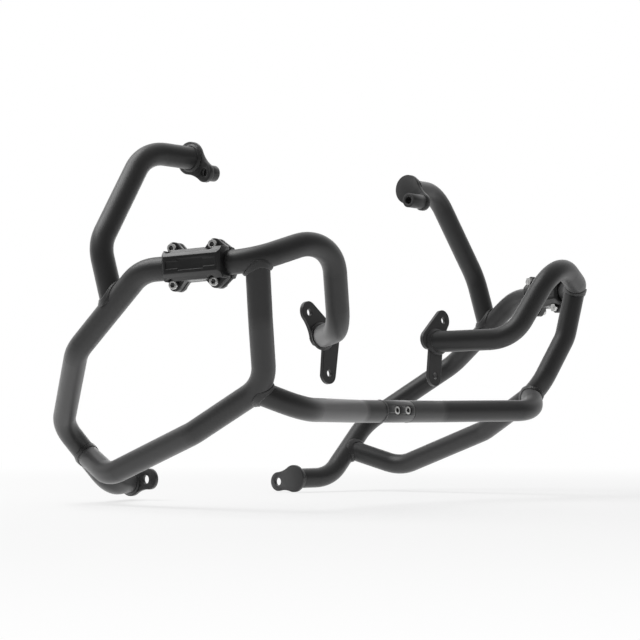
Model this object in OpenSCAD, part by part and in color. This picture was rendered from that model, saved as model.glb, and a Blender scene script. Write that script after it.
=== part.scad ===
// Pair of tubular crash bars for a motorcycle with a flat twin engine.
// Two mirrored halves meet in a half-lap joint under the frame's front.
// X runs across the motorcycle (left side +X), -Y is its front, +Z is up.
// Lengths are millimetres. The bike's left half is drawn, the right half is its mirror.

/* [Tubes] */
// Outside diameter of every tube
tube_d = 27; // [24:0.5:30]
// Wall thickness of every tube
tube_wall = 2; // [1.5:0.25:3.5]
// Radius of every bend, to the middle of the tube
bend_r = 50; // [42:1:54]
// Leg of the weld bead round each joint
weld_leg = 3.5; // [2:0.5:5]

/* [Loop] */
// Half width to the middle of the widest leg
half_width = 354; // [345:1:365]
// Height of the upper front corner above the cross tube
shoulder_z = 194; // [188:1:200]
// Distance of the rear corners behind the cross tube
tail_y = 289; // [283:1:297]
// Height of the upper strut's top leg above the cross tube
strut_top_z = 301; // [295:1:310]

/* [Front plate] */
// Thickness of the front plate
front_plate_t = 5; // [4:0.5:8]
// Lean of the front plate from upright, in degrees
front_lean = 6; // [0:0.5:10]
// Radius of the lobe round each bolt hole
front_lobe_r = 12; // [10:0.5:14]
// Radius of the wide lobe that carries the tube
front_seat_r = 21.5; // [19.5:0.5:24]
// Diameter of both bolt holes
front_hole_d = 8.5; // [6.5:0.5:11]

/* [Rear tab] */
// Thickness of the rear tab
rear_tab_t = 5; // [4:0.5:8]
// Radius of the disc that carries the tube
rear_disc_r = 18.5; // [17:0.5:21]
// Radius of the lobe round the bolt hole
rear_lobe_r = 13; // [11:0.5:15]
// Distance from the disc's middle to the bolt hole
rear_hole_reach = 28.5; // [26:0.5:32]
// Diameter of the bolt hole
rear_hole_d = 11; // [8.5:0.5:13]

/* [Top plate] */
// Thickness of the top plate
top_plate_t = 6; // [4:0.5:8]
// Radius of the disc that carries the strut
top_disc_r = 19.5; // [18:0.5:21]
// Radius of the lobe round the bolt hole
top_lobe_r = 11.5; // [11:0.5:14]
// Diameter of the spacer welded inside the lobe
spacer_d = 19; // [16:0.5:20]
// Diameter of the bolt hole through plate and spacer
top_hole_d = 10.5; // [8.5:0.5:12]
// Length of the spacer on the right side
right_spacer_l = 12; // [8:1:20]
// Length of the spacer on the left side
left_spacer_l = 28; // [20:1:38]

/* [Slider pad] */
// Length of the pad along the tube
pad_l = 71; // [68:1:78]
// Height of the pad's body
pad_h = 34; // [33:0.5:38]
// Distance of the pad's outer face from the middle of the tube
pad_reach = 27; // [24:0.5:30]
// Height of the pad's flat outer face
pad_face_h = 19; // [16:0.5:24]
// Distance of the pad's back from the middle of the tube
pad_back = 18; // [17:0.5:20]
// Screw spacing along the tube
pad_screw_span = 50; // [46:1:52]
// Screw spacing across the tube
pad_screw_pitch = 40; // [39:0.5:43]
// Diameter of the pad screws
pad_screw_d = 6; // [5:0.5:6]
// Gap between the two shells of the pad
pad_split = 2; // [1:0.5:3]
// Distance of the pad's outer screw seats from the middle of the tube
pad_seat_out = 9; // [7:0.5:11]
// Distance of the pad's inner nut seats from the middle of the tube
pad_seat_in = 7; // [5:0.5:9]
// Length of the recessed panel in each face of the pad
pad_panel_l = 60; // [50:1:64]
// Depth of the recessed panel
pad_panel_depth = 1.5; // [0.5:0.25:2.5]

/* [Cross joint] */
// Where the right tube's insert is welded in, across from the middle
lap_right_x = -40; // [-44:1:-34]
// Where the lap ends at the left tube, across from the middle
lap_left_x = 13.5; // [9:0.5:18]
// Distance between the two joint screws
lap_screw_span = 20.5; // [17:0.5:22]
// Diameter of the joint screws
lap_screw_d = 6; // [5:0.5:8]
// Clearance between the halves of the lap
lap_gap = 0.5; // [0.3:0.1:1]

/* [Hidden] */
$fn = 48;

// The shared origin, at the middle of the whole part's box
origin_y = 131.28;
origin_z = 104.75;

tube_r = tube_d / 2;
bore_d = tube_d - 2 * tube_wall;
fit = 0.2;
// Gap between a coped tube's end and the tube it stands on, which the weld fills
weld_gap = 0.1;
// How much a straight leg runs into each bend, and how much thinner the tube is there
BEND_RUN_IN = 1;
BEND_THINNING = 0.1;
// Extra length of a tool that cuts right through
through = 1;
// Extra length of a tube before its end is trimmed to a plate
trim_over = 22;

// How far a plate's waist cuts past the tangents of its lobes
TANGENT_INSET = 0.05;
// How much less a bead covers on the tube it stands on than on the branch
BEAD_STEP = 0.3;

// Corners of each tube's middle line
FRONT_SEAT = [110, 29, 88];
MAIN_NOSE = [168, -46, 92];
MAIN_SHOULDER = [220, -81, shoulder_z];
MAIN_KNEE = [half_width - 39, -52, 161];
MAIN_WIDE = [half_width, 81, 154];
MAIN_REAR = [half_width, 186, 68];
MAIN_TAIL = [283, tail_y, -16];
MAIN_FOOT = [205, tail_y, -90];
// Where the loop's rear end meets its tab, on the right and on the left
REAR_SEAT = [[155.5, 308, -87], [155.5, 308, -91]];
POST_UPPER = [294, -42, 98];
POST_ELBOW = [263, -20, 28];
POST_LOWER = [277, 77, -25];
POST_HEEL = [274, 218, -75];
CROSS_DROP = [222, -41, 1.5];
CROSS_EASE = [77, 0, 0];
STRUT_ELBOW = [half_width + 1, 148, 187];
STRUT_HEAD = [276, 158, strut_top_z];
TOP_SEAT = [210.5, 147, strut_top_z - 2];
// Where the post meets the loop's knee, as a share of that bend
POST_KNEE_SHARE = 0.42;
// Where the cross tube meets the post's elbow, as a share of that bend
CROSS_ELBOW_SHARE = 0.77;
// Where the post's tail meets the loop, from the tail corner
POST_TAIL_RUN = 51;
// Where the strut stands on the loop, from the wide corner
STRUT_FOOT_RUN = 58;
// Places of the front plate's wide lobe and bolt holes from the tube, across and up the plate
FRONT_DISC = [-4, 0];
FRONT_HOLE_UPPER = [19, 28];
FRONT_HOLE_LOWER = [-8, -43.5];
// Radius of the hollow flanks towards the upper and the lower bolt hole
FRONT_WAIST_R = [15, 38];
// Places of the top plate's disc and bolt hole from the strut, forward and up
TOP_DISC = [-4, 0.5];
TOP_HOLE = [20.5, -18.5];
// Radius of the hollow flanks of the top plate and of the rear tab
TOP_WAIST_R = 40;
REAR_WAIST_R = 40;
// Turn of each rear tab in degrees, right and left, where 0 points to the front
REAR_TURN = [6, 189.5];
// How far the tab's lobe runs on past its bolt hole, right and left
REAR_LOBE_RUN = [5, 0];
// Middle of the pad's screws along the loop, from the knee
PAD_RUN = 68;
// How far the pad's body lies in front of the middle of its screws
PAD_BODY_SHIFT = 4;
// Radius of the ear round each pad screw
PAD_EAR_R = 7;
// Length of an ear's foot on the pad's body, from the screw towards the middle
PAD_EAR_FOOT = 12;
// Extra width of the hollows in the pad's sides round its screw heads and nuts
PAD_HEAD_ROOM = 1;
// Bevel between the pad's outer face and its ends
PAD_END_BEVEL = 3;
// The middle step of the recessed panel, and the height of its two wings
PAD_PANEL_STEP = [31, 12];
PAD_PANEL_WING_H = 8;
// Socket head screw: head width and height, socket width and depth, as shares of the thread
HEAD_D = 10 / 6;
HEAD_H = 5 / 6;
SOCKET_D = 5.8 / 6;
SOCKET_H = 0.5;
// Hexagon nut: width over its corners and height, as shares of the thread
NUT_D = 11.5 / 6;
NUT_H = 5 / 6;
// Depth of each insert in its tube
SPIGOT_L = 20;
// Turn of the lap joint about the cross tube, in degrees
LAP_TURN = 6.5;
// Shift of the joint screws from the middle of the lap
LAP_SCREW_SHIFT = 2.8;
// Depth of a joint screw's head below the tube's surface
LAP_HEAD_SINK = 0.8;
// Extra width of the joint screws' head bores
LAP_HEAD_ROOM = 1.5;
LAP_HEAD_SEAT = tube_r - LAP_HEAD_SINK - HEAD_H * lap_screw_d;
// Distance of the joint screws' tips from the tube's far surface
LAP_TAIL = 3;
// Where an ear's flanks leave its round end, in degrees
PAD_EAR_SLOPE = 35;
// Leg of the bead round the spacer
SPACER_BEAD = 2;
// Height and width of the ground-down bead round the insert
LAP_BEAD = [0.6, 4];

function unit(v) = v / norm(v);
function along(a, b, d) = a + d * unit(b - a);
function bend_angle(p, i) = acos(unit(p[i] - p[i - 1]) * unit(p[i + 1] - p[i]));
function setback(p, i) = i == 0 || i == len(p) - 1 ? 0 : bend_r * tan(bend_angle(p, i) / 2);
function run_in(p, i) = i == 0 || i == len(p) - 1 ? 0 : BEND_RUN_IN;
function inward(p, i) = let (u = unit(p[i] - p[i - 1]), w = unit(p[i + 1] - p[i])) unit(w - (w * u) * u);
function bend_start(p, i) = p[i] - setback(p, i) * unit(p[i] - p[i - 1]);
function bend_point(p, i, share) =
    let (turn = share * bend_angle(p, i))
    bend_start(p, i) + bend_r * sin(turn) * unit(p[i] - p[i - 1]) + bend_r * (1 - cos(turn)) * inward(p, i);
function part(p, a, b) = [for (i = [a : b]) p[i]];
// One of a pair of values, where side is -1 on the right and 1 on the left
function pick(pair, side) = pair[side < 0 ? 0 : 1];

MAIN_PATH = [along(FRONT_SEAT, MAIN_NOSE, -trim_over), MAIN_NOSE, MAIN_SHOULDER, MAIN_KNEE, MAIN_WIDE,
             MAIN_REAR, MAIN_TAIL, MAIN_FOOT];
POST_BENDS = [MAIN_KNEE, POST_UPPER, POST_ELBOW, POST_LOWER, POST_HEEL, MAIN_TAIL];
POST_PATH = concat([bend_point(MAIN_PATH, 3, POST_KNEE_SHARE)], part(POST_BENDS, 1, 4),
                   [along(MAIN_TAIL, MAIN_FOOT, POST_TAIL_RUN)]);
CROSS_PATH = [bend_point(POST_PATH, 2, CROSS_ELBOW_SHARE), CROSS_DROP, CROSS_EASE, [0, 0, 0]];
STRUT_PATH = [along(MAIN_WIDE, MAIN_REAR, STRUT_FOOT_RUN), STRUT_ELBOW, STRUT_HEAD,
              along(TOP_SEAT, STRUT_HEAD, -trim_over)];

function rear_leg(side) = [MAIN_FOOT, along(pick(REAR_SEAT, side), MAIN_FOOT, -trim_over)];

// Turns the children's +Z to the direction v
module aim(v) {
    rotate([0, acos(unit(v)[2]), atan2(v[1], v[0])]) children();
}

module ring(od, id) {
    difference() {
        circle(d = od);
        if (id > 0) circle(d = id);
    }
}

// The straight leg that starts at corner i
module leg(p, i, od, id) {
    from = setback(p, i) - run_in(p, i);
    l = norm(p[i + 1] - p[i]) - from - setback(p, i + 1) + run_in(p, i + 1);
    translate(along(p[i], p[i + 1], from)) aim(p[i + 1] - p[i]) linear_extrude(l) ring(od, id);
}

// The bend at corner i, turned about its own centre
module elbow(p, i, od, id) {
    u = unit(p[i] - p[i - 1]);
    n = inward(p, i);
    w = cross(u, n);
    c = bend_start(p, i) + bend_r * n;
    multmatrix([[-n[0], u[0], w[0], c[0]], [-n[1], u[1], w[1], c[1]], [-n[2], u[2], w[2], c[2]]])
        rotate_extrude(angle = bend_angle(p, i)) translate([bend_r, 0])
            ring(od - BEND_THINNING, id > 0 ? id + BEND_THINNING : 0);
}

// A whole bent tube, or a bar where id is 0
module bent(p, od, id = 0) {
    for (i = [0 : len(p) - 2]) leg(p, i, od, id);
    for (i = [1 : 1 : len(p) - 2]) elbow(p, i, od, id);
}

// Puts the children on the front plate, with +Z out of its front face
module on_front_plate() {
    translate(FRONT_SEAT) rotate([90 - front_lean, 0, 0]) children();
}

// Puts the children on a plate whose flat sides face across, with +Z inwards
module on_side_plate(seat) {
    translate(seat) rotate([90, 0, -90]) children();
}

// Everything behind a plate's face, to trim a tube's end
module behind_face() {
    side = 4 * tube_d;
    translate([-side / 2, -side / 2, 0]) cube([side, side, 2 * trim_over]);
}

// Two round lobes joined by a waist whose hollow flanks touch both
module necked(r1, r2, reach, waist_r) {
    a = r1 + waist_r;
    b = r2 + waist_r;
    x = (a * a - b * b + reach * reach) / (2 * reach);
    y = sqrt(a * a - x * x);
    circle(r = r1);
    translate([reach, 0]) circle(r = r2);
    difference() {
        polygon([[0, 0], [x, -y], [reach, 0], [x, y]]);
        for (flank = [-1, 1]) translate([x, flank * y]) circle(r = waist_r + TANGENT_INSET);
    }
}

// Puts the children at place a, with +X towards place b
module between(a, b) {
    translate(a) rotate(atan2(b[1] - a[1], b[0] - a[0])) children();
}

// The bead in the corner between a branch tube and the tube it meets
module saddle_bead(branch, main) {
    difference() {
        intersection() {
            bent(branch, tube_d + 2 * weld_leg);
            bent(main, tube_d + 2 * (weld_leg - BEAD_STEP));
        }
        bent(branch, tube_d);
        bent(main, tube_d + 2 * weld_gap);
    }
}

// The bead round a tube's end on a plate, where the children are a slab on the plate's face
module face_bead(branch) {
    difference() {
        intersection() {
            bent(branch, tube_d + 2 * weld_leg);
            children();
        }
        bent(branch, tube_d);
    }
}

module slab() {
    side = 4 * tube_d;
    translate([-side / 2, -side / 2, 0]) cube([side, side, weld_leg]);
}

module main_tube(side) {
    color("#2c2d2f") difference() {
        bent(concat(MAIN_PATH, part(rear_leg(side), 1, 1)), tube_d, bore_d);
        on_front_plate() mirror([0, 0, 1]) behind_face();
        on_side_plate(pick(REAR_SEAT, side)) behind_face();
    }
}

module post_tube() {
    color("#2c2d2f") difference() {
        bent(POST_PATH, tube_d, bore_d);
        bent(part(MAIN_PATH, 2, 4), tube_d + 2 * weld_gap);
        bent(part(MAIN_PATH, 6, 7), tube_d + 2 * weld_gap);
    }
}

// The cross tube ends where its insert is welded in
module cross_tube(end_x) {
    color("#2c2d2f") difference() {
        bent(concat(part(CROSS_PATH, 0, 2), [[end_x, 0, 0]]), tube_d, bore_d);
        bent(part(POST_PATH, 1, 3), tube_d + 2 * weld_gap);
    }
}

module top_strut() {
    color("#2c2d2f") difference() {
        bent(STRUT_PATH, tube_d, bore_d);
        bent(part(MAIN_PATH, 4, 5), tube_d + 2 * weld_gap);
        on_side_plate(TOP_SEAT) behind_face();
    }
}

// Three lobes: one round each bolt hole and a wide one behind the tube
module front_outline() {
    between(FRONT_DISC, FRONT_HOLE_UPPER)
        necked(front_seat_r, front_lobe_r, norm(FRONT_HOLE_UPPER - FRONT_DISC), FRONT_WAIST_R[0]);
    between(FRONT_DISC, FRONT_HOLE_LOWER)
        necked(front_seat_r, front_lobe_r, norm(FRONT_HOLE_LOWER - FRONT_DISC), FRONT_WAIST_R[1]);
}

module front_plate() {
    color("#2c2d2f") on_front_plate() translate([0, 0, -front_plate_t]) linear_extrude(front_plate_t)
        difference() {
            front_outline();
            translate(FRONT_HOLE_UPPER) circle(d = front_hole_d);
            translate(FRONT_HOLE_LOWER) circle(d = front_hole_d);
        }
}

// The tab points forward on the right side and back on the left
module rear_tab(side) {
    lobe_reach = rear_hole_reach + pick(REAR_LOBE_RUN, side);
    color("#2c2d2f") on_side_plate(pick(REAR_SEAT, side)) rotate(pick(REAR_TURN, side))
        linear_extrude(rear_tab_t) difference() {
            necked(rear_disc_r, rear_lobe_r, lobe_reach, REAR_WAIST_R);
            translate([rear_hole_reach, 0]) circle(d = rear_hole_d);
        }
}

module top_plate() {
    color("#2c2d2f") on_side_plate(TOP_SEAT) linear_extrude(top_plate_t)
        difference() {
            between(TOP_DISC, TOP_HOLE) necked(top_disc_r, top_lobe_r, norm(TOP_HOLE - TOP_DISC), TOP_WAIST_R);
            translate(TOP_HOLE) circle(d = top_hole_d);
        }
}

module top_spacer(l) {
    color("#2c2d2f") on_side_plate(TOP_SEAT) translate([TOP_HOLE[0], TOP_HOLE[1], top_plate_t])
        linear_extrude(l) ring(spacer_d, top_hole_d);
}

// Puts the children on the lap joint, with +X across
module on_lap() {
    rotate([-LAP_TURN, 0, 0]) children();
}

// A spigot in the tube at start and a half-round tongue that ends just short of stop,
// in front of the middle where side is -1 and behind it where side is 1
module cross_insert(start, stop, side) {
    dir = sign(stop - start);
    tip = stop - dir * lap_gap;
    root = start - dir * SPIGOT_L;
    clear = tip + dir * through;
    color("#303133") on_lap() difference() {
        union() {
            lap_round(start, tip, tube_d);
            lap_round(root, tip, bore_d - fit);
        }
        translate([min(start, clear), side < 0 ? -lap_gap / 2 : lap_gap / 2 - tube_d, -tube_d])
            cube([abs(clear - start), tube_d, 2 * tube_d]);
        lap_bores();
    }
}

module lap_round(a, b, d) {
    translate([min(a, b), 0, 0]) rotate([0, 90, 0]) cylinder(d = d, h = abs(b - a));
}

// Puts the children on each joint screw's axis, with +Z to the front
module at_lap_screws() {
    for (k = [-0.5, 0.5])
        translate([(lap_right_x + lap_left_x) / 2 + LAP_SCREW_SHIFT + k * lap_screw_span, 0, 0])
            rotate([90, 0, 0]) children();
}

// The bores of the joint screws, wider in front for their heads
module lap_bores() {
    at_lap_screws() {
        translate([0, 0, -tube_d]) cylinder(d = lap_screw_d + fit, h = 2 * tube_d);
        translate([0, 0, LAP_HEAD_SEAT]) cylinder(d = HEAD_D * lap_screw_d + LAP_HEAD_ROOM, h = tube_d);
    }
}

// A socket head screw whose head sits on z = 0 and whose shank runs down from it
module socket_screw(d, l) {
    difference() {
        union() {
            cylinder(d = HEAD_D * d, h = HEAD_H * d);
            translate([0, 0, -l]) cylinder(d = d, h = l);
        }
        translate([0, 0, (HEAD_H - SOCKET_H) * d]) cylinder(d = SOCKET_D * d, h = SOCKET_H * d + through, $fn = 6);
    }
}

module joint_screws() {
    color("#c8c8c8") on_lap() at_lap_screws() translate([0, 0, LAP_HEAD_SEAT])
        socket_screw(lap_screw_d, LAP_HEAD_SEAT + tube_r - LAP_TAIL);
}

// Puts the children on the pad's middle, with +X outwards, +Y up and +Z along the tube to the front
module on_pad() {
    translate(along(MAIN_KNEE, MAIN_WIDE, PAD_RUN)) aim(MAIN_KNEE - MAIN_WIDE) rotate(90) children();
}

// Puts the children on each pad screw's axis, with +Z outwards
module at_pad_screws() {
    for (y = [-0.5, 0.5], z = [-0.5, 0.5])
        translate([0, y * pad_screw_pitch, z * pad_screw_span]) rotate([0, 90, 0]) children();
}

// Half of the pad's body from the split to its flat face, with bevelled long edges and ends
module pad_body(reach) {
    half = pad_l / 2;
    bevel = (pad_h - pad_face_h) / 2;
    intersection() {
        translate([0, 0, PAD_BODY_SHIFT - half]) linear_extrude(pad_l)
            polygon([[pad_split / 2, -pad_h / 2], [reach - bevel, -pad_h / 2], [reach, -pad_face_h / 2],
                     [reach, pad_face_h / 2], [reach - bevel, pad_h / 2], [pad_split / 2, pad_h / 2]]);
        translate([0, pad_h, PAD_BODY_SHIFT]) rotate([90, 0, 0]) linear_extrude(2 * pad_h)
            polygon([[0, -half], [reach - PAD_END_BEVEL, -half], [reach, -half + PAD_END_BEVEL],
                     [reach, half - PAD_END_BEVEL], [reach - PAD_END_BEVEL, half], [0, half]]);
    }
}

// The four ears of one shell, from the split to the screw seats
module pad_ears(seat) {
    translate([pad_split / 2, 0, 0]) rotate([0, 90, 0]) linear_extrude(seat - pad_split / 2)
        for (x = [-1, 1], y = [-1, 1]) scale_flip(x, y) {
            end = pad_l / 2 - x * PAD_BODY_SHIFT;
            translate([pad_screw_span / 2, pad_screw_pitch / 2]) circle(r = PAD_EAR_R);
            polygon([[pad_screw_span / 2 - PAD_EAR_FOOT, 0], [end, 0], [end, pad_h / 2],
                     [pad_screw_span / 2 + PAD_EAR_R * cos(PAD_EAR_SLOPE),
                      pad_screw_pitch / 2 + PAD_EAR_R * sin(PAD_EAR_SLOPE)],
                     [pad_screw_span / 2 - PAD_EAR_R * cos(PAD_EAR_SLOPE),
                      pad_screw_pitch / 2 + PAD_EAR_R * sin(PAD_EAR_SLOPE)],
                     [pad_screw_span / 2 - PAD_EAR_FOOT, pad_h / 2]]);
        }
}

// Turns a quarter shape into another quarter
module scale_flip(x, y) {
    mirror([x < 0 ? 1 : 0, 0]) mirror([0, y < 0 ? 1 : 0]) children();
}

// The stepped recess in a shell's flat face
module pad_panel(reach) {
    translate([reach - pad_panel_depth, 0, PAD_BODY_SHIFT]) rotate([0, 90, 0])
        linear_extrude(pad_panel_depth + through) {
        square(PAD_PANEL_STEP, center = true);
        square([pad_panel_l, PAD_PANEL_WING_H], center = true);
    }
}

// One shell of the pad, open to the tube, with its ears, its panel and its screw bores
module pad_shell(reach, seat) {
    color("#1d1d1f") difference() {
        union() {
            pad_body(reach);
            pad_ears(seat);
        }
        translate([0, 0, -pad_l]) cylinder(d = tube_d + fit, h = 2 * pad_l);
        at_pad_screws() {
            translate([0, 0, -through]) cylinder(d = pad_screw_d + fit, h = pad_reach);
            translate([0, 0, seat]) cylinder(d = max(HEAD_D, NUT_D) * pad_screw_d + PAD_HEAD_ROOM, h = pad_reach);
        }
        pad_panel(reach);
    }
}

module pad_outer_shell() {
    on_pad() pad_shell(pad_reach, pad_seat_out);
}

module pad_inner_shell() {
    on_pad() mirror([1, 0, 0]) pad_shell(pad_back, pad_seat_in);
}

module pad_screws() {
    color("#c8c8c8") on_pad() at_pad_screws() translate([0, 0, pad_seat_out])
        socket_screw(pad_screw_d, pad_seat_out + pad_seat_in + NUT_H * pad_screw_d);
}

module pad_nuts() {
    color("#c8c8c8") on_pad() at_pad_screws() translate([0, 0, -pad_seat_in - NUT_H * pad_screw_d])
        difference() {
            cylinder(d = NUT_D * pad_screw_d, h = NUT_H * pad_screw_d, $fn = 6);
            translate([0, 0, -through]) cylinder(d = pad_screw_d + fit, h = 2 * NUT_H * pad_screw_d);
        }
}

// Every bead of one half, and the low one round its insert
module weld_beads(start, side) {
    color("#26272a") {
        saddle_bead(part(POST_PATH, 0, 1), part(MAIN_PATH, 2, 4));
        saddle_bead(part(POST_PATH, 4, 5), part(MAIN_PATH, 6, 7));
        saddle_bead(part(CROSS_PATH, 0, 1), part(POST_PATH, 1, 3));
        saddle_bead(part(STRUT_PATH, 0, 1), part(MAIN_PATH, 4, 5));
        face_bead(part(MAIN_PATH, 0, 1)) on_front_plate() slab();
        face_bead(rear_leg(side)) on_side_plate(pick(REAR_SEAT, side)) mirror([0, 0, 1]) slab();
        face_bead(part(STRUT_PATH, 2, 3)) on_side_plate(TOP_SEAT) mirror([0, 0, 1]) slab();
        on_side_plate(TOP_SEAT) translate([TOP_HOLE[0], TOP_HOLE[1], top_plate_t]) rotate_extrude()
            polygon([[spacer_d / 2, 0], [spacer_d / 2 + SPACER_BEAD, 0], [spacer_d / 2, SPACER_BEAD]]);
        lap_bead(start, side);
    }
}

// The half ring ground nearly flush where an insert's tongue leaves its tube
module lap_bead(start, side) {
    translate([start, 0, 0]) on_lap() rotate([0, 90, 0]) rotate(side < 0 ? -180 : 0)
        rotate_extrude(angle = 180) translate([tube_r, -LAP_BEAD[1] / 2]) square(LAP_BEAD);
}

// Moves the left half to the shared origin
module left() {
    translate([0, -origin_y, -origin_z]) children();
}

// Moves the mirrored half to the shared origin
module right() {
    left() mirror([1, 0, 0]) children();
}

right() main_tube(-1);  // right_main_tube
right() post_tube();  // right_post_tube
right() cross_tube(-lap_right_x);  // right_cross_tube
right() top_strut();  // right_top_strut
right() front_plate();  // right_front_plate
right() rear_tab(-1);  // right_rear_tab
right() top_plate();  // right_top_plate
right() top_spacer(right_spacer_l);  // right_top_spacer
left() cross_insert(lap_right_x, lap_left_x, -1);  // right_cross_insert
right() pad_outer_shell();  // right_pad_outer_shell
right() pad_inner_shell();  // right_pad_inner_shell
right() pad_screws();  // right_pad_screws
right() pad_nuts();  // right_pad_nuts
right() weld_beads(-lap_right_x, -1);  // right_weld_beads
left() main_tube(1);  // left_main_tube
left() post_tube();  // left_post_tube
left() cross_tube(lap_left_x);  // left_cross_tube
left() top_strut();  // left_top_strut
left() front_plate();  // left_front_plate
left() rear_tab(1);  // left_rear_tab
left() top_plate();  // left_top_plate
left() top_spacer(left_spacer_l);  // left_top_spacer
left() cross_insert(lap_left_x, lap_right_x, 1);  // left_cross_insert
left() pad_outer_shell();  // left_pad_outer_shell
left() pad_inner_shell();  // left_pad_inner_shell
left() pad_screws();  // left_pad_screws
left() pad_nuts();  // left_pad_nuts
left() weld_beads(lap_left_x, 1);  // left_weld_beads
left() joint_screws();
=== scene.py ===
"""Studio picture of a pair of motorcycle crash bars.

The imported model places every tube, plate, pad, weld and screw. This script gives them their
finishes, rounds the edges that a workshop rounds, recuts the front plates, shapes the weld
beads, and sets up the floor, the light and the camera of the photograph.
"""

import logging
import math
from collections.abc import Iterable, Mapping, Sequence
from dataclasses import dataclass, field
from enum import Enum
from typing import Any

import bmesh
import bpy
import numpy as np
from mathutils import Matrix, Vector
from mathutils.bvhtree import BVHTree
from mathutils.geometry import convex_hull_2d, intersect_line_line_2d


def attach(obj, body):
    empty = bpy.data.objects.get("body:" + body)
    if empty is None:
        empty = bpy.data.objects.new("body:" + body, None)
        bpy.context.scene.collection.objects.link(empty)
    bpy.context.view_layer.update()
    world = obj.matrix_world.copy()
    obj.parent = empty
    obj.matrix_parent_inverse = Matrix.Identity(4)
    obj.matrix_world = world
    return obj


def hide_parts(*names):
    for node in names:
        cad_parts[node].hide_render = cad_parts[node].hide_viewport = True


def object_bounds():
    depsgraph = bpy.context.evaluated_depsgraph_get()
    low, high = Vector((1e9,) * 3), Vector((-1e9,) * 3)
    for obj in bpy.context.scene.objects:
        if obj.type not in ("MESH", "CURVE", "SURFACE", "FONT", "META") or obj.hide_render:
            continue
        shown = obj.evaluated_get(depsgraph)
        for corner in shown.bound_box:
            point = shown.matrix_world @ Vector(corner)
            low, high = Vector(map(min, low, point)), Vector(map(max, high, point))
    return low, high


LOG = logging.getLogger("crash_bars")

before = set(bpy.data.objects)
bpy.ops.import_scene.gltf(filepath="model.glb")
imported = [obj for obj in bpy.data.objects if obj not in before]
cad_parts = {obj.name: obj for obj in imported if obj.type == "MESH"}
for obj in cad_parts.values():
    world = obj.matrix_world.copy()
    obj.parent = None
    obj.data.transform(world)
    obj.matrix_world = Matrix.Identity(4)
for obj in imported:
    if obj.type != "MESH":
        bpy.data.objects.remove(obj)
bpy.context.view_layer.update()
CAD_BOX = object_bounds()

BODY = "root"
MM = 0.001
# The cross tube's middle, in the shared frame's metres.
CROSS_TUBE_MIDDLE = Vector((0.0, -0.13128, -0.10475))

TUBES = ("main_tube", "post_tube", "cross_tube", "top_strut")
FRONT_PLATE = "front_plate"
PLATES = ("rear_tab", "top_plate", "top_spacer")
INSERTS = ("cross_insert",)
WELDED = (*TUBES, FRONT_PLATE, *PLATES, *INSERTS)
# The face attribute that marks the inside of a screw's socket, which the steel darkens with
# painted shade.
PAINTED_SHADE = "sunk"
# A Mix node's sockets for colours. Their names repeat, so they go by number.
MIX_SHARE, MIX_ONE, MIX_OTHER, MIX_RESULT = 0, 6, 7, 2

Colour = tuple[float, float, float]
Point = tuple[float, float]
Circle = tuple[float, float, float]
Value = Any


class Slot(Enum):
    """The record's material slots."""

    COAT = "powder_coat"
    PLASTIC = "pad_plastic"
    STEEL = "stainless"


class Side(Enum):
    """The rider's right and left side, as the nodes' names start."""

    RIGHT = "right_"
    LEFT = "left_"


class Wire:
    """A shader socket that takes part in arithmetic and adds its Math nodes."""

    def __init__(self, shader: "Shader", socket: bpy.types.NodeSocket) -> None:
        """Wraps one output socket.

        Args:
            shader: the node tree that new nodes go into.
            socket: the output that this wire carries.
        """
        self.shader = shader
        self.socket = socket

    def math(self, operation: str, *values: Value) -> "Wire":
        """Applies a Math node to this wire.

        Args:
            operation: the Math node's operation.
            values: numbers or wires for its other inputs.

        Returns:
            The result's wire.
        """
        sockets = dict(enumerate((self, *values)))
        return self.shader.node("ShaderNodeMath", {"operation": operation}, sockets)

    def __add__(self, other: Value) -> "Wire":
        """Sum."""
        return self.math("ADD", other)

    __radd__ = __add__

    def __mul__(self, other: Value) -> "Wire":
        """Product."""
        return self.math("MULTIPLY", other)

    __rmul__ = __mul__

    def __sub__(self, other: Value) -> "Wire":
        """Difference."""
        return self.math("SUBTRACT", other)

    def __rsub__(self, other: Value) -> "Wire":
        """Difference from a number, so that 1 - mask works."""
        return self * -1.0 + other

    def swing(self, width: float) -> "Wire":
        """A pattern round 0.5 as a swing of a given width round 0."""
        return (self - 0.5) * width

    def clamped(self) -> "Wire":
        """The value held between 0 and 1."""
        return self.math("MINIMUM", 1.0).math("MAXIMUM", 0.0)

    def band(self, low: float, high: float) -> "Wire":
        """A smooth step.

        Args:
            low: the value at which the step starts.
            high: the value at which it is complete.

        Returns:
            A wire from 0 to 1.
        """
        settings = {"interpolation_type": "SMOOTHSTEP"}
        return self.shader.node("ShaderNodeMapRange", settings, {0: self, 1: low, 2: high})


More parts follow.
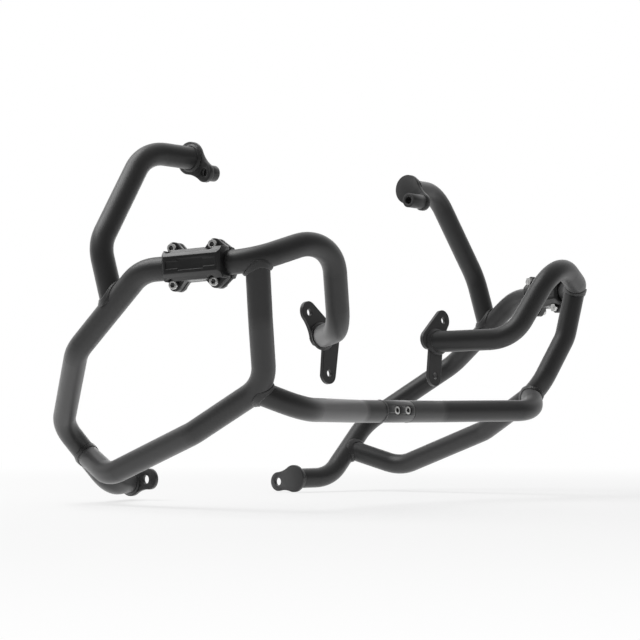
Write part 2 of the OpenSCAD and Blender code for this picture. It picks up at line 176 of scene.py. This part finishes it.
class Shader:
    """A node tree that is filled through one method."""

    def __init__(self, owner: bpy.types.Material | bpy.types.World) -> None:
        """Starts from an empty tree.

        Args:
            owner: the material or world that is shaded.
        """
        owner.use_nodes = True
        self.tree = owner.node_tree
        self.tree.nodes.clear()

    def node(
        self,
        kind: str,
        settings: Mapping[str, Any] | None = None,
        sockets: Mapping[int | str, Value] | None = None,
        output: int | str = 0,
    ) -> Wire:
        """Adds a node.

        Args:
            kind: the node's type.
            settings: properties, set before the sockets.
            sockets: numbers, colours or wires by input.
            output: the output that the wire carries.

        Returns:
            The wire of that output.
        """
        node = self.tree.nodes.new(kind)
        for name, value in (settings or {}).items():
            setattr(node, name, value)
        for key, value in (sockets or {}).items():
            if isinstance(value, Wire):
                self.tree.links.new(value.socket, node.inputs[key])
            else:
                node.inputs[key].default_value = value
        return Wire(self, node.outputs[output] if len(node.outputs) else node.inputs[0])

    def coordinates(self) -> Wire:
        """Places on the object, in metres."""
        return self.node("ShaderNodeTexCoord", output="Object")

    def grain(self, size: float, detail: float = 2.0) -> Wire:
        """Soft noise.

        Args:
            size: the width of a grain in metres.
            detail: how much finer structure it has.

        Returns:
            A wire around 0.5.
        """
        sockets = {"Vector": self.coordinates(), "Scale": 1.0 / size, "Detail": detail}
        return self.node("ShaderNodeTexNoise", sockets=sockets)

    def tint(self, one: Colour | Wire, other: Colour, share: Wire) -> Wire:
        """A colour between two.

        Args:
            one: the colour at 0, or its wire.
            other: the colour at 1.
            share: where between them.

        Returns:
            The colour's wire.
        """
        start = one if isinstance(one, Wire) else (*one, 1.0)
        sockets = {MIX_SHARE: share.clamped(), MIX_ONE: start, MIX_OTHER: (*other, 1.0)}
        return self.node("ShaderNodeMix", {"data_type": "RGBA"}, sockets, MIX_RESULT)

    def relief(self, height: Wire, depth: float) -> Wire:
        """A bumped normal.

        Args:
            height: the surface's height, from 0 to 1.
            depth: what a height of 1 is in metres.

        Returns:
            The normal's wire.
        """
        return self.node("ShaderNodeBump", sockets={"Height": height, "Distance": depth})

    def finish(self, surface: Wire, kind: str = "ShaderNodeOutputMaterial") -> None:
        """Ends the tree in its output."""
        self.node(kind, sockets={"Surface": surface})


@dataclass(frozen=True)
class PowderCoat:
    """Satin black powder coat: an even skin with fine orange peel.

    Its tone is mostly the clouds' and partly the specks', and both swing the roughness.
    """

    name: str = "SatinPowderCoat"
    dark: Colour = (0.0040, 0.0040, 0.0042)
    light: Colour = (0.0075, 0.0075, 0.0078)
    roughness: float = 0.44
    cloud_size: float = 30 * MM
    cloud_share: float = 0.7
    cloud_swing: float = 0.08
    speck_size: float = 0.35 * MM
    speck_share: float = 0.3
    speck_swing: float = 0.05
    peel_size: float = 1.1 * MM
    peel_depth: float = 0.035 * MM
    gloss: float = 0.45
    sheen: float = 0.35
    sheen_roughness: float = 0.5

    def material(self) -> bpy.types.Material:
        """Builds the material.

        Returns:
            The finish, ready for a piece.
        """
        made = bpy.data.materials.new(self.name)
        shader = Shader(made)
        cloud = shader.grain(self.cloud_size, detail=3.0)
        speck = shader.grain(self.speck_size, detail=1.0)
        peel = shader.grain(self.peel_size, detail=1.5)
        share = cloud * self.cloud_share + speck * self.speck_share
        swing = cloud.swing(self.cloud_swing) + speck.swing(self.speck_swing)
        sockets = {
            "Base Color": shader.tint(self.dark, self.light, share),
            "Roughness": swing + self.roughness,
            "Specular IOR Level": self.gloss,
            "Sheen Weight": self.sheen,
            "Sheen Roughness": self.sheen_roughness,
            "Normal": shader.relief(peel, self.peel_depth),
        }
        shader.finish(shader.node("ShaderNodeBsdfPrincipled", sockets=sockets))
        return made


@dataclass(frozen=True)
class MouldedPlastic:
    """Black moulded nylon: fine pebbles over the streaks of its flow, shinier than the coat."""

    name: str = "MouldedNylon"
    dark: Colour = (0.0045, 0.0045, 0.0047)
    light: Colour = (0.0075, 0.0075, 0.0078)
    roughness: float = 0.33
    flow_size: float = 14 * MM
    flow_share: float = 0.6
    flow_swing: float = 0.12
    pebble_size: float = 0.7 * MM
    pebble_share: float = 0.4
    pebble_swing: float = 0.06
    pebble_depth: float = 0.06 * MM
    gloss: float = 0.5

    def material(self) -> bpy.types.Material:
        """Builds the material.

        Returns:
            The finish, ready for a piece.
        """
        made = bpy.data.materials.new(self.name)
        shader = Shader(made)
        flow = shader.grain(self.flow_size)
        cells = {"Vector": shader.coordinates(), "Scale": 1.0 / self.pebble_size}
        pebble = shader.node("ShaderNodeTexVoronoi", {"feature": "SMOOTH_F1"}, cells)
        share = flow * self.flow_share + pebble * self.pebble_share
        swing = flow.swing(self.flow_swing) + pebble.swing(self.pebble_swing)
        sockets = {
            "Base Color": shader.tint(self.dark, self.light, share),
            "Roughness": swing + self.roughness,
            "Specular IOR Level": self.gloss,
            "Normal": shader.relief(1 - pebble, self.pebble_depth),
        }
        shader.finish(shader.node("ShaderNodeBsdfPrincipled", sockets=sockets))
        return made


@dataclass(frozen=True)
class TurnedSteel:
    """Bright stainless screws: fine turning marks, a trace of handling, and painted shade in the
    sockets.
    """

    name: str = "TurnedStainless"
    dark: Colour = (0.52, 0.52, 0.51)
    light: Colour = (0.66, 0.66, 0.65)
    # The painted shade laid over the inside of each socket.
    shade: Colour = (0.08, 0.08, 0.08)
    roughness: float = 0.32
    smear_size: float = 3.0 * MM
    smear_share: float = 0.7
    smear_swing: float = 0.2
    mark_size: float = 0.25 * MM
    mark_share: float = 0.3
    mark_swing: float = 0.1
    mark_depth: float = 0.01 * MM

    def material(self) -> bpy.types.Material:
        """Builds the material.

        Returns:
            The finish, ready for a piece.
        """
        made = bpy.data.materials.new(self.name)
        shader = Shader(made)
        smear = shader.grain(self.smear_size, detail=3.0)
        mark = shader.grain(self.mark_size, detail=1.0)
        # The socket mask, where painted shade darkens the steel's colour.
        sunk = shader.node("ShaderNodeAttribute", {"attribute_name": PAINTED_SHADE}, output="Fac")
        share = smear * self.smear_share + mark * self.mark_share
        swing = smear.swing(self.smear_swing) + mark.swing(self.mark_swing)
        clean = shader.tint(self.dark, self.light, share)
        sockets = {
            "Base Color": shader.tint(clean, self.shade, sunk),
            "Metallic": 1.0,
            "Roughness": swing + self.roughness,
            "Normal": shader.relief(mark, self.mark_depth),
        }
        shader.finish(shader.node("ShaderNodeBsdfPrincipled", sockets=sockets))
        return made


@dataclass(frozen=True)
class StudioPaper:
    """The pale floor: white paper that takes a soft shadow and melts into the backdrop.

    It glows for the camera and in reflections, more from fade_start to fade_end, which are
    distances from the frame's origin in metres.
    """

    name: str = "StudioPaper"
    dark: Colour = (0.90, 0.90, 0.90)
    light: Colour = (0.93, 0.93, 0.93)
    fibre_size: float = 4 * MM
    glow: float = 0.72
    fade_start: float = 0.3
    fade_end: float = 1.8

    def material(self) -> bpy.types.Material:
        """Builds the material.

        Returns:
            The finish, ready for a piece.
        """
        made = bpy.data.materials.new(self.name)
        shader = Shader(made)
        places = shader.coordinates()
        colour = shader.tint(self.dark, self.light, shader.grain(self.fibre_size))
        paper = shader.node("ShaderNodeBsdfDiffuse", sockets={"Color": colour})
        glow = shader.node("ShaderNodeEmission", sockets={"Strength": 1.0})
        length = {"operation": "LENGTH"}
        reach = shader.node("ShaderNodeVectorMath", length, {0: places}, "Value")
        fade = reach.band(self.fade_start, self.fade_end) * (1.0 - self.glow) + self.glow
        share = fade * seen_directly(shader)
        mixed = shader.node("ShaderNodeMixShader", sockets={0: share, 1: paper, 2: glow})
        shader.finish(mixed)
        return made


def seen_directly(shader: Shader) -> Wire:
    """A mask that is 1 for camera, glossy and transmission rays.

    Args:
        shader: the tree that the mask is used in.

    Returns:
        The mask's wire.
    """
    rays = ("Is Camera Ray", "Is Glossy Ray", "Is Transmission Ray")
    camera, glossy, clear = (shader.node("ShaderNodeLightPath", output=ray) for ray in rays)
    return (camera + glossy + clear).clamped()


class Shop:
    """Copies CAD nodes into finished pieces and keeps the finishes."""

    join_gap = 0.002 * MM
    flat_angle = math.radians(0.5)
    sharp_angle = math.radians(40)

    def __init__(self) -> None:
        """Builds each finish once."""
        self.finishes = {
            Slot.COAT: PowderCoat().material(),
            Slot.PLASTIC: MouldedPlastic().material(),
            Slot.STEEL: TurnedSteel().material(),
        }

    def dress(self, node: str, slot: Slot) -> None:
        """Gives a CAD node that keeps its shape a better finish.

        Args:
            node: the node's name.
            slot: the finish that it gets.
        """
        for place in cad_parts[node].material_slots:
            place.material = self.finishes[slot]
        LOG.info("%s keeps its shape in %s", node, slot.value)

    def copied(self, node: str) -> bmesh.types.BMesh:
        """Copies a CAD node's mesh, its loose triangles joined and its flat faces made one.

        Args:
            node: the node's name.

        Returns:
            The joined mesh.
        """
        mesh = bmesh.new()
        mesh.from_mesh(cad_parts[node].data)
        bmesh.ops.remove_doubles(mesh, verts=mesh.verts, dist=self.join_gap)
        bmesh.ops.dissolve_degenerate(mesh, edges=mesh.edges, dist=self.join_gap)
        flat = self.flat_angle
        bmesh.ops.dissolve_limit(mesh, angle_limit=flat, verts=mesh.verts, edges=mesh.edges)
        return mesh

    def piece(
        self, name: str, mesh: bmesh.types.BMesh, slot: Slot, node: str
    ) -> bpy.types.Object:
        """Makes an object that stands for a CAD node.

        Args:
            name: the object's name.
            mesh: its shape, in the shared frame.
            slot: its finish.
            node: the node that it stands for.

        Returns:
            The object, riding on the bars.
        """
        data = bpy.data.meshes.new(name)
        mesh.to_mesh(data)
        mesh.free()
        data.materials.clear()
        data.materials.append(self.finishes[slot])
        for polygon in data.polygons:
            polygon.material_index = 0
        made = bpy.data.objects.new(name, data)
        bpy.context.scene.collection.objects.link(made)
        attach(made, BODY)
        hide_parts(node)
        LOG.info("%s stands for %s", name, node)
        return made

    def soften(self, node: str, slot: Slot, edge: float) -> bpy.types.Object:
        """Replaces a node with a copy whose sharp edges are rounded.

        Args:
            node: the node's name.
            slot: its finish.
            edge: the width of the rounding in metres.

        Returns:
            The rounded piece.
        """
        made = self.piece(f"{node}_softened", self.copied(node), slot, node)
        self.rounded(made, edge)
        return made

    def rounded(self, made: bpy.types.Object, edge: float, segments: int = 2) -> None:
        """Rounds a piece's sharp edges.

        Args:
            made: the piece.
            edge: the width of the rounding in metres.
            segments: faces across the rounding.
        """
        bevel = made.modifiers.new("edges", "BEVEL")
        bevel.width = edge
        bevel.segments = segments
        bevel.limit_method = "ANGLE"
        bevel.angle_limit = self.sharp_angle
        bevel.use_clamp_overlap = False
        bevel.harden_normals = True
        made.data.shade_smooth()


@dataclass
class Welds:
    """The fillet beads of one side, rippled as a welder lays them.

    The throat is how far a bead's surface lies from its two parts, taken together. pitch and
    depth are a ripple's, crescent bends it, and level is the height that stays in place.
    """

    side: Side
    voxel: float = 0.7 * MM
    throat: float = 4.3 * MM
    most_hollow: float = 2.0 * MM
    smoothing: int = 4
    smooth_factor: float = 0.5
    pitch: float = 2.3 * MM
    depth: float = 0.2 * MM
    crescent: float = 0.9
    level: float = 0.6
    fewest_ripples: int = 12

    @property
    def node(self) -> str:
        """The beads' CAD node."""
        return f"{self.side.value}weld_beads"

    def build(self, shop: Shop) -> None:
        """Remeshes the beads evenly, hollows and smooths them, and ripples each.

        Args:
            shop: makes the piece.
        """
        made = shop.piece(f"{self.node}_rippled", shop.copied(self.node), Slot.COAT, self.node)
        remesh = made.modifiers.new("even", "REMESH")
        remesh.mode = "VOXEL"
        remesh.voxel_size = self.voxel
        bpy.context.view_layer.update()
        settled = made.evaluated_get(bpy.context.evaluated_depsgraph_get()).to_mesh()
        mesh = bmesh.new()
        mesh.from_mesh(settled)
        made.modifiers.clear()
        self.hollow(mesh)
        every_way = {"use_axis_x": True, "use_axis_y": True, "use_axis_z": True}
        for _ in range(self.smoothing):
            bmesh.ops.smooth_vert(mesh, verts=mesh.verts, factor=self.smooth_factor, **every_way)
        mesh.normal_update()
        beads = list(islands(mesh))
        for bead in beads:
            self.ripple(bead)
        mesh.to_mesh(made.data)
        mesh.free()
        made.data.shade_smooth()
        LOG.info("%s: %d beads rippled", made.name, len(beads))

    def hollow(self, mesh: bmesh.types.BMesh) -> None:
        """Pulls each bead's outer corner in, so that its section is a fillet.

        Args:
            mesh: the beads.
        """
        trees = [surface_tree(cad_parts[self.side.value + name]) for name in WELDED]
        for vert in mesh.verts:
            hits = sorted((tree.find_nearest(vert.co) for tree in trees), key=lambda hit: hit[3])
            (spot, _, _, gap), (next_spot, _, _, next_gap) = hits[:2]
            excess = (gap + next_gap - self.throat) / math.sqrt(2)
            if excess > 0:
                pull = (vert.co - spot) + (vert.co - next_spot)
                vert.co -= pull.normalized() * min(excess, self.most_hollow)

    def ripple(self, bead: Sequence[bmesh.types.BMVert]) -> None:
        """Moves a bead's surface in and out along its length.

        Args:
            bead: the bead's vertices.
        """
        places = np.array([vert.co for vert in bead])
        centre = places.mean(0)
        spread = places - centre
        _, axes = np.linalg.eigh(spread.T @ spread)
        across, ahead, aside = (spread @ axes[:, i] for i in range(3))
        radius = np.hypot(ahead, aside).mean()
        count = max(round(2 * math.pi * radius / self.pitch), self.fewest_ripples)
        bend = self.crescent * (across / max(np.abs(across).max(), MM)) ** 2
        phase = np.arctan2(aside, ahead) * count / 2 + bend
        lift = self.depth * (np.abs(np.cos(phase)) - self.level)
        for vert, step in zip(bead, lift):
            vert.co += vert.normal * float(step)


def surface_tree(part: bpy.types.Object) -> BVHTree:
    """Prepares a solid for distance searches.

    Args:
        part: the solid's object.

    Returns:
        Its search tree.
    """
    mesh = bmesh.new()
    mesh.from_mesh(part.data)
    tree = BVHTree.FromBMesh(mesh)
    mesh.free()
    return tree


def islands(mesh: bmesh.types.BMesh) -> Iterable[list[bmesh.types.BMVert]]:
    """Splits a mesh into its joined parts.

    Args:
        mesh: the mesh to walk.

    Yields:
        The vertices of each part.
    """
    left = set(mesh.verts)
    while left:
        start = left.pop()
        part, edge = [start], [start]
        while edge:
            for line in edge.pop().link_edges:
                for vert in line.verts:
                    if vert in left:
                        left.remove(vert)
                        part.append(vert)
                        edge.append(vert)
        yield part


@dataclass(frozen=True)
class SocketScrews:
    """Socket screws whose hexagon sockets are darkened with painted shade.

    socket_r is the hexagon's reach from the axis, and socket_depth its depth below the crown.
    """

    node: str
    edge: float
    socket_r: float = 2.95 * MM
    socket_depth: float = 6.5 * MM

    def build(self, shop: Shop) -> None:
        """Rounds the screws' edges and marks their sockets for painted shade.

        Args:
            shop: makes the piece.
        """
        made = shop.soften(self.node, Slot.STEEL, self.edge)
        mesh = bmesh.new()
        mesh.from_mesh(made.data)
        # Faces inside a socket get 1, where the steel's painted shade goes.
        sunk = mesh.faces.layers.float.new(PAINTED_SHADE)
        for screw in islands(mesh):
            self.mark(screw, sunk)
        mesh.to_mesh(made.data)
        mesh.free()
        made.data.shade_smooth()

    def mark(self, screw: Sequence[bmesh.types.BMVert], sunk: bmesh.types.BMLayerItem) -> None:
        """Marks the faces inside one screw's socket, which get painted shade.

        Args:
            screw: the screw's vertices.
            sunk: the layer that holds the marks.
        """
        places = np.array([vert.co for vert in screw])
        low, high = places.min(0), places.max(0)
        middle = (low + high) / 2
        axis = np.linalg.svd(places - places.mean(0), full_matrices=False)[2][0]
        along = (places - middle) @ axis
        radial = np.linalg.norm(places - middle - np.outer(along, axis), axis=1)
        if along[radial.argmax()] < 0:
            axis, along = -axis, -along
        crown = along.max()
        for face in {face for vert in screw for face in vert.link_faces}:
            spoke = np.array(face.calc_center_median()) - middle
            height = float(spoke @ axis)
            reach = float(np.linalg.norm(spoke - height * axis))
            deep = crown - self.socket_depth < height < crown - self.edge
            face[sunk] = 1.0 if deep and reach < self.socket_r else 0.0


# The root and the lobe of each front plate's lower arm, in millimetres on the plate. The arm
# leans the same way on both sides, so the plates aren't mirror images.
LOWER_ARMS = {
    Side.RIGHT: ((-18.0, -5.0), (-7.2, -44.0)),
    Side.LEFT: ((0.5, -5.0), (-9.0, -44.0)),
}


@dataclass(frozen=True)
class FrontPlate:
    """A front plate: a rounded body, a broad upper arm and a straight lower one.

    Its outline replaces the CAD plate's, whose arms are drawn in more at their waists. The
    plate is drawn flat in millimetres, from the middle of the tube's seat, and then placed.
    """

    side: Side
    edge: float
    seat: Vector = field(default_factory=lambda: Vector((110.0, -102.28, -16.75)) * MM)
    lean: float = 6.0
    thickness: float = 5 * MM
    holes: tuple[Point, ...] = ((19.0, 28.0), (-8.0, -43.5))
    hole_r: float = 4.25
    hole_steps: int = 32
    middle: Point = (-5.0, 0.0)
    body: tuple[Circle, ...] = ((18.7, 28.8, 12.5), (7.5, -1.0, 10.5), (-15.0, 2.5, 12.0))
    waist: Circle = (57.7, -6.3, 40.0)
    arm_r: float = 12.2
    fillet: float = 4.0
    rays: int = 240
    ray_length: float = 200.0

    @property
    def arm(self) -> tuple[Circle, ...]:
        """The circles at the root and the lobe of the lower arm."""
        return tuple((x, y, self.arm_r) for x, y in LOWER_ARMS[self.side])

    def build(self, shop: Shop) -> None:
        """Cuts the plate and rounds its edges.

        Args:
            shop: makes the piece.
        """
        mesh = bmesh.new()
        for loop in (self.outline(), *(self.hole(*place) for place in self.holes)):
            verts = [mesh.verts.new((x * MM, y * MM, -self.thickness)) for x, y in loop]
            for one, other in zip(verts, verts[1:] + verts[:1]):
                mesh.edges.new((one, other))
        filled = bmesh.ops.triangle_fill(mesh, use_beauty=True, edges=mesh.edges)
        faces = [item for item in filled["geom"] if isinstance(item, bmesh.types.BMFace)]
        raised = bmesh.ops.extrude_face_region(mesh, geom=faces, use_keep_orig=True)
        top = [item for item in raised["geom"] if isinstance(item, bmesh.types.BMVert)]
        bmesh.ops.translate(mesh, vec=(0.0, 0.0, self.thickness), verts=top)
        bmesh.ops.transform(mesh, matrix=self.placing(), verts=mesh.verts)
        bmesh.ops.recalc_face_normals(mesh, faces=mesh.faces)
        node = self.side.value + FRONT_PLATE
        made = shop.piece(f"{node}_recut", mesh, Slot.COAT, node)
        shop.rounded(made, self.edge)

    def placing(self) -> Matrix:
        """Works out the plate's place in the shared frame.

        Returns:
            The matrix that leans the flat plate, sets it on its seat and mirrors the right one.
        """
        tip = Matrix.Rotation(math.radians(90 - self.lean), 4, "X")
        flip = Matrix.Diagonal((-1.0 if self.side is Side.RIGHT else 1.0, 1.0, 1.0, 1.0))
        return flip @ Matrix.Translation(self.seat) @ tip

    def hole(self, x: float, y: float) -> list[Point]:
        """A bolt hole's outline.

        Args:
            x: the hole's place across.
            y: its height.

        Returns:
            Its points in millimetres.
        """
        return [tuple(point) for point in ring((x, y, self.hole_r), self.hole_steps)]

    def outline(self) -> list[Point]:
        """The plate's outline, met by rays from its middle.

        Returns:
            Its points in millimetres.
        """
        body, arm = rim(self.body), rim(self.arm)
        points = []
        for ray in ring((0.0, 0.0, 1.0), self.rays):
            wide = min(self.exit(body, ray), self.before_waist(ray))
            reach = self.blended(wide, self.exit(arm, ray))
            points.append(tuple(Vector(self.middle) + ray * reach))
        return points

    def exit(self, loop: Sequence[Vector], ray: Vector) -> float:
        """Where a ray leaves a loop.

        Args:
            loop: the loop's points.
            ray: the ray's direction.

        Returns:
            The distance, or 0 where the ray misses.
        """
        start = Vector(self.middle)
        far = start + ray * self.ray_length
        sides = zip(loop, [*loop[1:], loop[0]])
        met = (intersect_line_line_2d(start, far, one, other) for one, other in sides)
        return max(((point - start).length for point in met if point), default=0.0)

    def before_waist(self, ray: Vector) -> float:
        """How far a ray runs before the hollow flank.

        Args:
            ray: the ray's direction.

        Returns:
            The distance, or infinity where the ray misses the hollow.
        """
        x, y, radius = self.waist
        towards = Vector((x, y)) - Vector(self.middle)
        ahead = towards.dot(ray)
        inside = ahead * ahead - towards.length_squared + radius * radius
        return ahead - math.sqrt(inside) if inside > 0 and ahead > 0 else math.inf

    def blended(self, one: float, other: float) -> float:
        """The larger of two reaches, with a fillet where they are alike."""
        share = min(max(0.5 + 0.5 * (one - other) / self.fillet, 0.0), 1.0)
        return one * share + other * (1 - share) + 0.5 * self.fillet * share * (1 - share)


def ring(circle: Circle, steps: int) -> list[Vector]:
    """Sets points round a circle.

    Args:
        circle: its middle and radius.
        steps: the number of points.

    Returns:
        The points.
    """
    x, y, radius = circle
    turns = (2 * math.pi * step / steps for step in range(steps))
    return [Vector((x + radius * math.cos(turn), y + radius * math.sin(turn))) for turn in turns]


def rim(circles: Iterable[Circle], steps: int = 90) -> list[Vector]:
    """Lays a tight belt round circles.

    Args:
        circles: each circle's middle and radius.
        steps: points on each circle.

    Returns:
        The belt's points.
    """
    points = [point for circle in circles for point in ring(circle, steps)]
    return [points[index] for index in convex_hull_2d(points)]


@dataclass
class BarSide:
    """One side of the bars: its tubes, plates, pad and welds."""

    side: Side
    pads: tuple[str, ...] = ("pad_outer_shell", "pad_inner_shell")
    fasteners: tuple[str, ...] = ("pad_nuts",)
    plate_edge: float = 0.6 * MM
    insert_edge: float = 0.4 * MM
    pad_edge: float = 0.5 * MM
    fastener_edge: float = 0.25 * MM
    welds: Welds = field(init=False)

    def __post_init__(self) -> None:
        """Makes the side's welds."""
        self.welds = Welds(self.side)

    def build(self, shop: Shop) -> None:
        """Dresses the side.

        Args:
            shop: makes the pieces.
        """
        for tube in TUBES:
            shop.dress(self.side.value + tube, Slot.COAT)
        rounded = (
            (PLATES, Slot.COAT, self.plate_edge),
            (INSERTS, Slot.COAT, self.insert_edge),
            (self.pads, Slot.PLASTIC, self.pad_edge),
            (self.fasteners, Slot.STEEL, self.fastener_edge),
        )
        for names, slot, edge in rounded:
            for name in names:
                shop.soften(self.side.value + name, slot, edge)
        FrontPlate(self.side, self.plate_edge).build(shop)
        SocketScrews(f"{self.side.value}pad_screws", self.fastener_edge).build(shop)
        self.welds.build(shop)


@dataclass
class LapJoint:
    """The screws that clamp the two halves of the cross tube."""

    node: str = "joint_screws"
    edge: float = 0.25 * MM

    def build(self, shop: Shop) -> None:
        """Rounds the screws' edges and marks their sockets for painted shade.

        Args:
            shop: makes the piece.
        """
        SocketScrews(self.node, self.edge).build(shop)


@dataclass(frozen=True)
class Lamp:
    """A soft square lamp that faces the bars: its side is in metres, its power in watts."""

    name: str
    place: Vector
    size: float
    power: float

    def hang(self) -> None:
        """Puts the lamp in its place."""
        data = bpy.data.lights.new(self.name, "AREA")
        data.shape = "SQUARE"
        data.size = self.size
        data.energy = self.power
        made = bpy.data.objects.new(self.name, data)
        made.location = self.place
        made.rotation_euler = (-self.place).to_track_quat("-Z", "Y").to_euler()
        bpy.context.scene.collection.objects.link(made)


@dataclass
class Studio:
    """The floor, the backdrop, the lamps and the photograph's camera.

    The lamp called table stands for the light that a table throws back under the bars.
    paper_edge is where the white of the backdrop starts and is full in reflections, as a
    cosine from the camera's direction. The camera's turn and tilt are in degrees.
    """

    camera_place: Vector = field(
        default_factory=lambda: CROSS_TUBE_MIDDLE + Vector((-1.821827, -1.454251, -0.005856))
    )
    camera_turn: float = 49.0224
    camera_tilt: float = 2.8607
    focal_px: float = 1926.66
    frame_px: float = 640.0
    sensor: float = 36.0
    floor_size: float = 6.0
    floor_cells: int = 8
    floor_gap: float = 0.5 * MM
    fill: float = 0.30
    paper_edge: tuple[float, float] = (0.05, 0.75)
    lamps: tuple[Lamp, ...] = (
        Lamp("overhead", Vector((-0.7, 0.8, 1.7)), 1.5, 32.0),
        Lamp("right", Vector((2.0, 1.5, 0.3)), 1.3, 9.0),
        Lamp("table", Vector((0.0, 0.0, -0.213)), 1.1, 1.2),
    )

    def build(self) -> None:
        """Sets up the studio round the bars."""
        self.floor()
        self.backdrop()
        for lamp in self.lamps:
            lamp.hang()
        self.camera()
        bpy.context.scene.view_settings.view_transform = "Standard"

    def floor(self) -> None:
        """Lays the paper under the lowest point."""
        mesh = bmesh.new()
        cells = {"x_segments": self.floor_cells, "y_segments": self.floor_cells}
        bmesh.ops.create_grid(mesh, size=self.floor_size / 2, **cells)
        drop = Matrix.Translation((0.0, 0.0, CAD_BOX[0].z - self.floor_gap))
        bmesh.ops.transform(mesh, matrix=drop, verts=mesh.verts)
        data = bpy.data.meshes.new("studio_floor")
        mesh.to_mesh(data)
        mesh.free()
        data.materials.append(StudioPaper().material())
        made = bpy.data.objects.new("studio_floor", data)
        bpy.context.scene.collection.objects.link(made)

    def backdrop(self) -> None:
        """Fills the world: white to the camera, and where a reflection meets the backdrop.

        All other rays find it dimmer, so that the black tubes keep their dark middles.
        """
        world = bpy.data.worlds.new("studio")
        bpy.context.scene.world = world
        shader = Shader(world)
        turn = math.radians(self.camera_turn)
        ahead = {0: shader.node("ShaderNodeTexCoord", output="Generated")}
        ahead[1] = Vector((math.sin(turn), math.cos(turn), 0.0))
        cosine = {"operation": "DOT_PRODUCT"}
        facing = shader.node("ShaderNodeVectorMath", cosine, ahead, "Value")
        camera = shader.node("ShaderNodeLightPath", output="Is Camera Ray")
        paper = (facing.band(*self.paper_edge) * seen_directly(shader) + camera).clamped()
        strength = paper * (1.0 - self.fill) + self.fill
        light = {"Color": (1.0, 1.0, 1.0, 1.0), "Strength": strength}
        sky = shader.node("ShaderNodeBackground", sockets=light)
        shader.finish(sky, "ShaderNodeOutputWorld")

    def camera(self) -> None:
        """Sets the photograph's camera."""
        data = bpy.data.cameras.new("photograph")
        data.sensor_width = self.sensor
        data.lens = self.focal_px * self.sensor / self.frame_px
        turn, tilt = math.radians(self.camera_turn), math.radians(self.camera_tilt)
        made = bpy.data.objects.new("photograph", data)
        made.location = self.camera_place
        made.rotation_euler = (math.pi / 2 + tilt, 0.0, -turn)
        bpy.context.scene.collection.objects.link(made)
        bpy.context.scene.camera = made


def write_sizes() -> None:
    """Updates the view layer."""
    bpy.context.view_layer.update()


def main() -> None:
    """Builds the dressed bars and the studio."""
    logging.basicConfig(level=logging.INFO, format="%(message)s")
    shop = Shop()
    for side in Side:
        BarSide(side).build(shop)
    LapJoint().build(shop)
    Studio().build()
    write_sizes()


if __name__ == "__main__":
    main()
